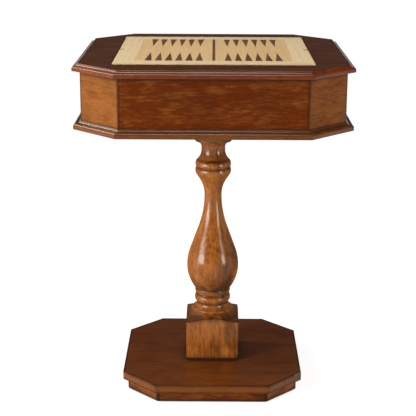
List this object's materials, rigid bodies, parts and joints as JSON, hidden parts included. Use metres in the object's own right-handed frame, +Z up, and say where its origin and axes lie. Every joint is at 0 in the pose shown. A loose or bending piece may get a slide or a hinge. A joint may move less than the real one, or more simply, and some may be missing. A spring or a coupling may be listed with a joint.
{
  "type": "games table",
  "caption": "Octagonal games table on a turned pedestal, with a lift-out reversible board over a storage box.",
  "frame": {"origin": "on the floor, at the axis of the column, which is the middle of the whole plan", "axes": "+Z up, +X to the right of someone facing the front, +Y away from them to the back"},
  "size_m": [0.604, 0.604, 0.787],
  "materials": {
    "dark_top": "polished dark red-brown stain",
    "top_edge": "satin mid-brown stain",
    "apron": "polished red-brown stain",
    "lower_edge": "satin mid-brown stain",
    "turned_column": "polished golden brown stain",
    "base_top": "polished dark red-brown stain",
    "plinth": "satin dark brown stain",
    "plain_timber": "unfinished",
    "plywood": "unfinished",
    "board_edge": "satin clear lacquer",
    "board_border": "satin clear lacquer",
    "board_field": "satin clear lacquer",
    "dark_inlay": "satin clear lacquer",
    "chess_dark": "satin clear lacquer",
    "chess_light": "satin clear lacquer",
    "steel": "zinc plated",
    "glide": "moulded"
  },
  "bodies": {
    "table": {"top_panel": "dark_top", "top_moulding_back": "top_edge", "top_moulding_back_left": "top_edge", "top_moulding_left": "top_edge", "top_moulding_front_left": "top_edge", "top_moulding_front": "top_edge", "top_moulding_front_right": "top_edge", "top_moulding_right": "top_edge", "top_moulding_back_right": "top_edge", "apron_back": "apron", "apron_back_left": "apron", "apron_left": "apron", "apron_front_left": "apron", "apron_front": "apron", "apron_front_right": "apron", "apron_right": "apron", "apron_back_right": "apron", "lower_moulding_back": "lower_edge", "lower_moulding_back_left": "lower_edge", "lower_moulding_left": "lower_edge", "lower_moulding_front_left": "lower_edge", "lower_moulding_front": "lower_edge", "lower_moulding_front_right": "lower_edge", "lower_moulding_right": "lower_edge", "lower_moulding_back_right": "lower_edge", "column": "turned_column", "base_slab": "base_top", "plinth_back": "plinth", "plinth_back_left": "plinth", "plinth_left": "plinth", "plinth_front_left": "plinth", "plinth_front": "plinth", "plinth_front_right": "plinth", "plinth_right": "plinth", "plinth_back_right": "plinth", "plinth_blocks": "plain_timber", "glue_blocks": "plain_timber", "mounting_plate": "plain_timber", "ledge_front": "plain_timber", "ledge_back": "plain_timber", "ledge_left": "plain_timber", "ledge_right": "plain_timber", "box_bottom": "plywood", "base_washers": "steel", "base_screws": "steel", "column_screws": "steel", "plate_washers": "steel", "plate_bolts": "steel", "tee_nuts": "steel", "ledge_screws": "steel", "floor_glides": "glide"},
    "game_board": {"board_core": "plywood", "board_lipping": "board_edge", "backgammon_border": "board_border", "backgammon_field": "board_field", "backgammon_points": "dark_inlay", "backgammon_bar": "dark_inlay", "chess_border": "board_border", "chess_light_squares": "chess_light", "chess_dark_squares": "chess_dark"}
  },
  "joints": [
    {"name": "board_lift", "type": "slide", "parent": "table", "child": "game_board", "axis": [0, 0, 1], "range_m": [0, 0.15]}
  ]
}
